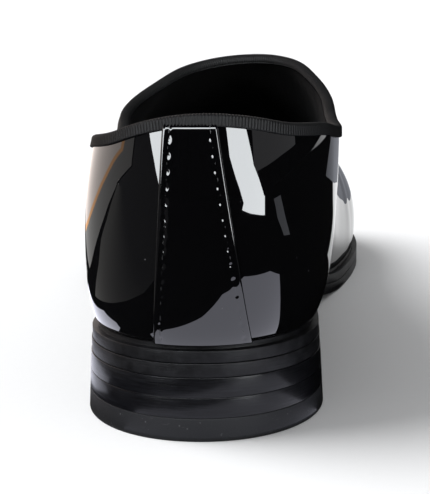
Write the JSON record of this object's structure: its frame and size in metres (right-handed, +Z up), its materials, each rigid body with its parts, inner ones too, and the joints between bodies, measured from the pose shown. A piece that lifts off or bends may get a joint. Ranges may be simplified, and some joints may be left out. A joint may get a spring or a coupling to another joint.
{
  "type": "tassel loafer",
  "caption": "Low slip-on dress shoe for a left foot, with a smooth glossy upper, ribbon-bound collar, tassels on the vamp and a low stacked heel.",
  "frame": {"origin": "middle of the footprint's box, on the floor", "axes": "+Y from heel to toe, +X towards the inner (medial) side of this left shoe, +Z up"},
  "size_m": [0.105, 0.3036, 0.0906],
  "materials": {
    "patent_leather": "black patent, mirror gloss",
    "grosgrain": "black ribbed ribbon, matt",
    "lining": "black lining leather, satin",
    "sole_edge": "black inked edge, satin",
    "heel_stack": "black burnished edge, semi-gloss",
    "heel_rubber": "black rubber, matt"
  },
  "bodies": {
    "root": {"top_lift": "heel_rubber", "lower_lift": "heel_stack", "upper_lift": "heel_stack", "outsole": "sole_edge", "midsole": "sole_edge", "upper": "patent_leather", "insole": "lining", "back_strip": "patent_leather", "collar_binding": "grosgrain", "tassel_knot": "patent_leather", "tassel_lateral": "patent_leather", "tassel_medial": "patent_leather"}
  },
  "joints": []
}
